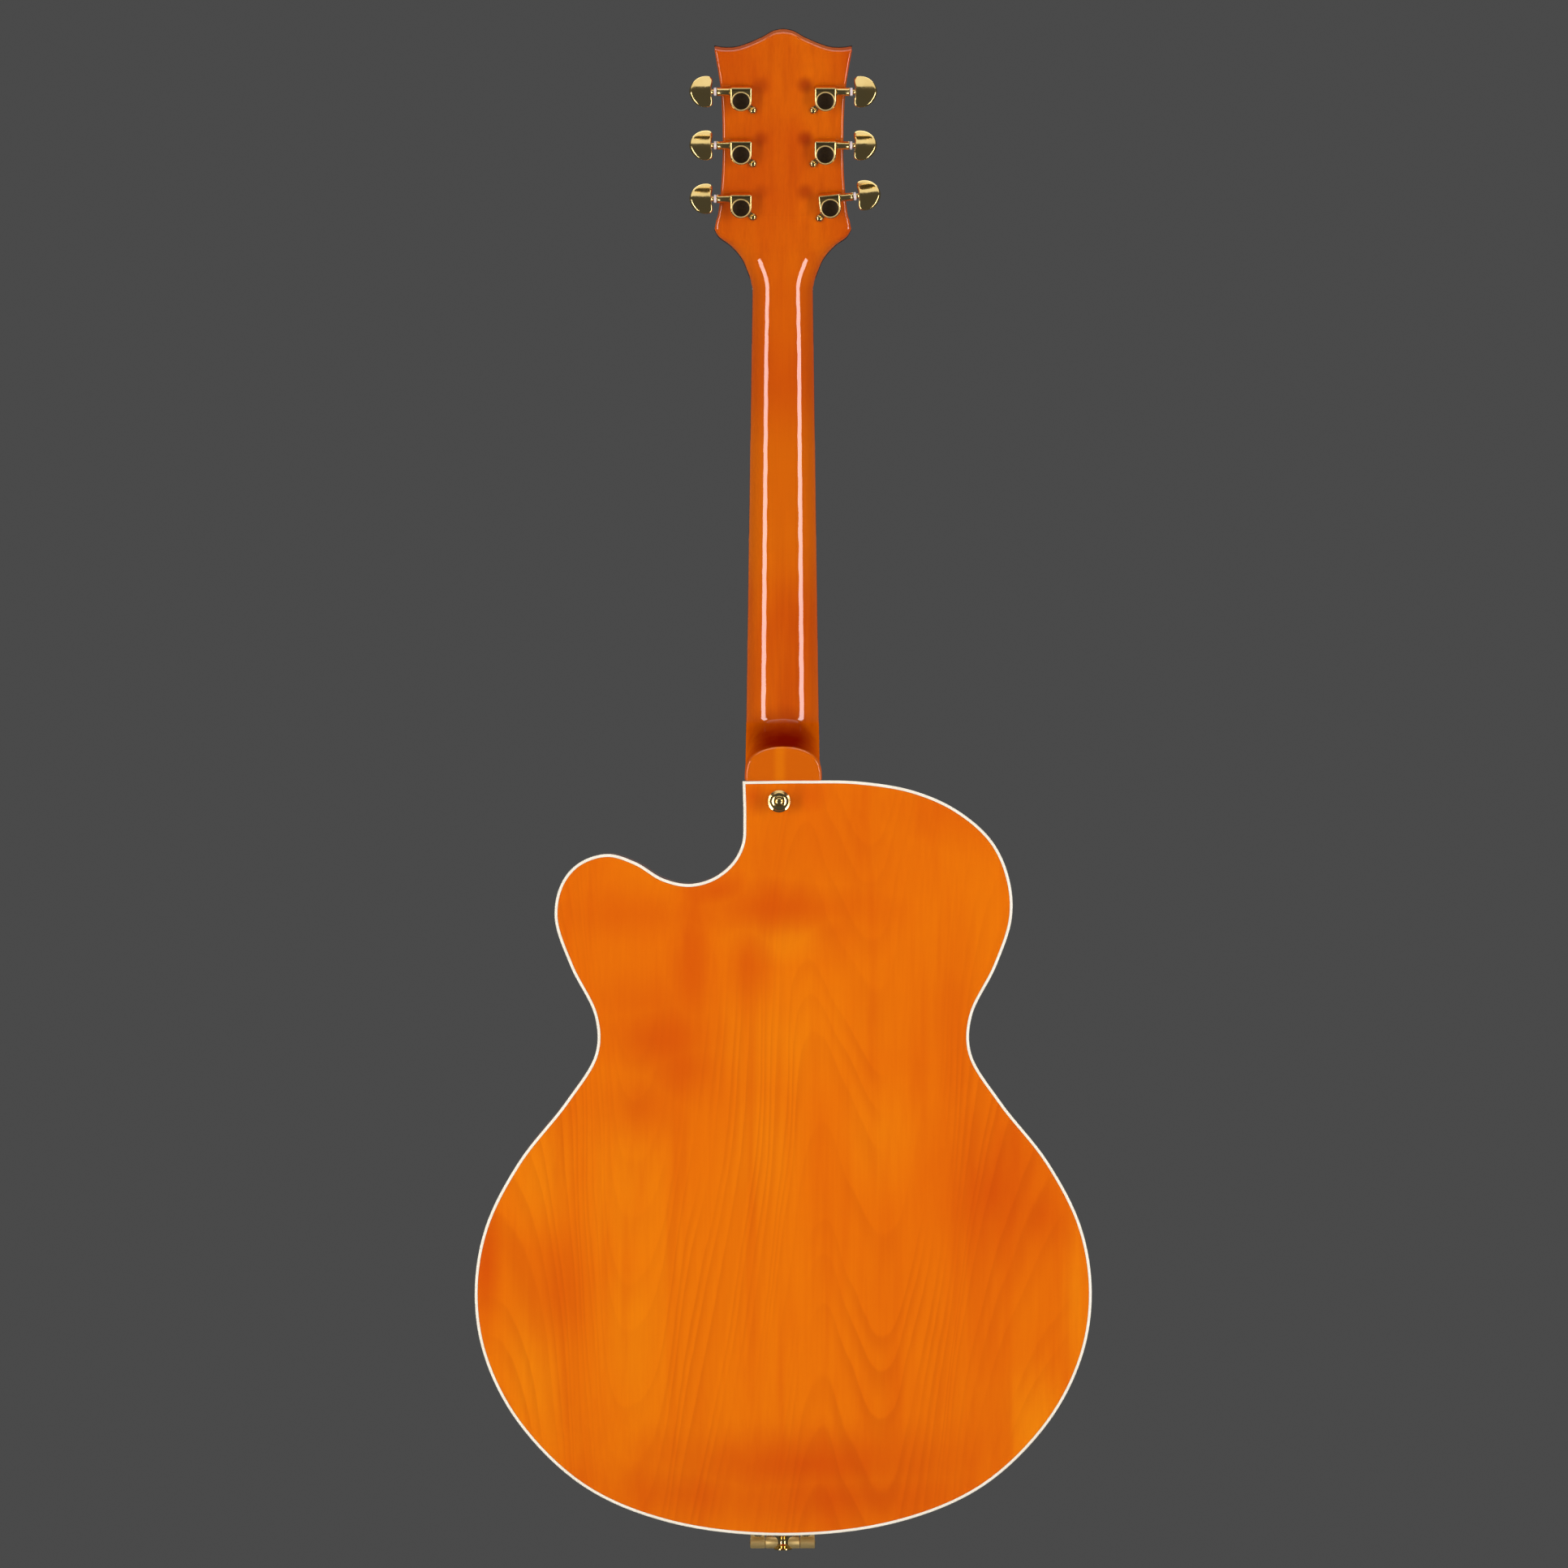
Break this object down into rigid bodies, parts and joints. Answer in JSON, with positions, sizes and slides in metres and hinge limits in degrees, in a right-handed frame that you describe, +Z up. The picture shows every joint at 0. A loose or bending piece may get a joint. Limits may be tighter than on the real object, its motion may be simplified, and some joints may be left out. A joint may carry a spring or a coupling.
{
  "type": "semi-acoustic guitar",
  "caption": "Hollow arched-body electric guitar with one cutaway, enclosed tuners, floating bridge, hinged trapeze tailpiece and magnetic pickups.",
  "frame": {"origin": "middle of the nut's front edge, level with the fingerboard's face, where a hanger's yoke holds the neck under the headstock", "axes": "+Z up the neck to the headstock, +Y to the arched back, +X to the treble side with the cutaway"},
  "size_m": [0.432, 0.1271, 1.0733],
  "materials": {
    "stained_back": "orange stain over figured maple under gloss lacquer",
    "stained_rim": "orange stain over maple under gloss lacquer",
    "stained_top": "orange stain over laminated maple under gloss lacquer",
    "stained_neck": "red-orange stain over maple under gloss lacquer",
    "binding": "cream celluloid, polished",
    "raw_wood": "bare spruce and maple",
    "rosewood": "oiled open-pored rosewood",
    "veneer": "black stained veneer under gloss lacquer",
    "black_plastic": "moulded, polished",
    "bone": "polished bone",
    "gold": "gold plated and polished",
    "gold_cover": "gold plated and polished",
    "steel": "bright drawn wire and plated parts"
  },
  "bodies": {
    "guitar": {"soundboard": "stained_top", "back_plate": "stained_back", "rim": "stained_rim", "top_binding": "binding", "back_binding": "binding", "neck_block": "raw_wood", "tail_block": "raw_wood", "bass_tone_bar": "raw_wood", "treble_tone_bar": "raw_wood", "neck": "stained_neck", "fingerboard": "rosewood", "truss_rod": "steel", "headstock_veneer": "veneer", "truss_rod_cover": "black_plastic", "nut": "bone", "bridge_base": "rosewood", "neck_pickup": "gold_cover", "bridge_pickup": "gold_cover", "neck_pickup_ring": "black_plastic", "bridge_pickup_ring": "black_plastic", "volume_pot": "steel", "tone_pot": "steel", "selector_switch": "steel", "output_jack": "gold", "heel_strap_button": "gold", "tail_strap_button": "gold", "tail_hinge_plate": "gold", "hinge_pin": "gold", "tailpiece": "gold", "tuner_housing_1": "gold", "tuner_housing_2": "gold", "tuner_housing_3": "gold", "tuner_housing_4": "gold", "tuner_housing_5": "gold", "tuner_housing_6": "gold", "string_1": "steel", "string_2": "steel", "string_3": "steel", "string_4": "steel", "string_5": "steel", "string_6": "steel"},
    "key_1": {"tuner_key_1": "gold"},
    "post_1": {"string_post_1": "gold"},
    "key_2": {"tuner_key_2": "gold"},
    "post_2": {"string_post_2": "gold"},
    "key_3": {"tuner_key_3": "gold"},
    "post_3": {"string_post_3": "gold"},
    "key_4": {"tuner_key_4": "gold"},
    "post_4": {"string_post_4": "gold"},
    "key_5": {"tuner_key_5": "gold"},
    "post_5": {"string_post_5": "gold"},
    "key_6": {"tuner_key_6": "gold"},
    "post_6": {"string_post_6": "gold"},
    "saddle": {"bridge_saddle": "gold"},
    "bass_wheel": {"bass_thumbwheel": "gold"},
    "treble_wheel": {"treble_thumbwheel": "gold"},
    "volume": {"volume_knob": "gold_cover"},
    "tone": {"tone_knob": "gold_cover"},
    "selector": {"selector_lever": "bone"}
  },
  "joints": [
    {"name": "tuner_key_1_turn", "type": "hinge", "parent": "guitar", "child": "key_1", "pos_m": [0.0296, 0.0415, 0.06142], "axis": [1, 0, 0], "continuous": true},
    {"name": "string_post_1_turn", "type": "hinge", "parent": "guitar", "child": "post_1", "pos_m": [0.0296, 0.03521, 0.05728], "axis": [0, 0.9563, -0.2924], "continuous": true},
    {"name": "tuner_key_2_turn", "type": "hinge", "parent": "guitar", "child": "key_2", "pos_m": [0.0296, 0.05273, 0.09814], "axis": [1, 0, 0], "continuous": true},
    {"name": "string_post_2_turn", "type": "hinge", "parent": "guitar", "child": "post_2", "pos_m": [0.0296, 0.04644, 0.094], "axis": [0, 0.9563, -0.2924], "continuous": true},
    {"name": "tuner_key_3_turn", "type": "hinge", "parent": "guitar", "child": "key_3", "pos_m": [0.0296, 0.06395, 0.13486], "axis": [1, 0, 0], "continuous": true},
    {"name": "string_post_3_turn", "type": "hinge", "parent": "guitar", "child": "post_3", "pos_m": [0.0296, 0.05767, 0.13072], "axis": [0, 0.9563, -0.2924], "continuous": true},
    {"name": "tuner_key_4_turn", "type": "hinge", "parent": "guitar", "child": "key_4", "pos_m": [-0.0296, 0.06395, 0.13486], "axis": [1, 0, 0], "continuous": true},
    {"name": "string_post_4_turn", "type": "hinge", "parent": "guitar", "child": "post_4", "pos_m": [-0.0296, 0.05767, 0.13072], "axis": [0, 0.9563, -0.2924], "continuous": true},
    {"name": "tuner_key_5_turn", "type": "hinge", "parent": "guitar", "child": "key_5", "pos_m": [-0.0296, 0.05273, 0.09814], "axis": [1, 0, 0], "continuous": true},
    {"name": "string_post_5_turn", "type": "hinge", "parent": "guitar", "child": "post_5", "pos_m": [-0.0296, 0.04644, 0.094], "axis": [0, 0.9563, -0.2924], "continuous": true},
    {"name": "tuner_key_6_turn", "type": "hinge", "parent": "guitar", "child": "key_6", "pos_m": [-0.03259, 0.04149, 0.06139], "axis": [0.9945, -0.0306, -0.1], "continuous": true},
    {"name": "string_post_6_turn", "type": "hinge", "parent": "guitar", "child": "post_6", "pos_m": [-0.0332, 0.03521, 0.05728], "axis": [0, 0.9563, -0.2924], "continuous": true},
    {"name": "saddle_height", "type": "slide", "parent": "guitar", "child": "saddle", "axis": [0, 1, 0], "range_m": [0, 0.0015]},
    {"name": "bass_thumbwheel_turn", "type": "hinge", "parent": "saddle", "child": "bass_wheel", "pos_m": [-0.034, -0.02969, -0.62779], "axis": [0, 1, 0], "range_deg": [0, 560]},
    {"name": "treble_thumbwheel_turn", "type": "hinge", "parent": "saddle", "child": "treble_wheel", "pos_m": [0.034, -0.02969, -0.62779], "axis": [0, 1, 0], "range_deg": [0, 560]},
    {"name": "volume_knob_turn", "type": "hinge", "parent": "guitar", "child": "volume", "pos_m": [0.15012, -0.015, -0.73498], "axis": [0, 1, 0], "range_deg": [-270, 0]},
    {"name": "tone_knob_turn", "type": "hinge", "parent": "guitar", "child": "tone", "pos_m": [0.12809, -0.015, -0.78519], "axis": [0, 1, 0], "range_deg": [-270, 0]},
    {"name": "selector_lever_tip", "type": "hinge", "parent": "guitar", "child": "selector", "pos_m": [-0.0959, -0.01107, -0.42792], "axis": [1, 0, 0], "range_deg": [-12, 12]}
  ],
  "couplings": [
    {"joint": "string_post_1_turn", "follows": "tuner_key_1_turn", "ratio": 0.071429},
    {"joint": "string_post_2_turn", "follows": "tuner_key_2_turn", "ratio": 0.071429},
    {"joint": "string_post_3_turn", "follows": "tuner_key_3_turn", "ratio": 0.071429},
    {"joint": "string_post_4_turn", "follows": "tuner_key_4_turn", "ratio": -0.071429},
    {"joint": "string_post_5_turn", "follows": "tuner_key_5_turn", "ratio": -0.071429},
    {"joint": "string_post_6_turn", "follows": "tuner_key_6_turn", "ratio": -0.071429},
    {"joint": "bass_thumbwheel_turn", "follows": "saddle_height", "rad_per_m": 6283.2},
    {"joint": "treble_thumbwheel_turn", "follows": "saddle_height", "rad_per_m": 6283.2}
  ]
}
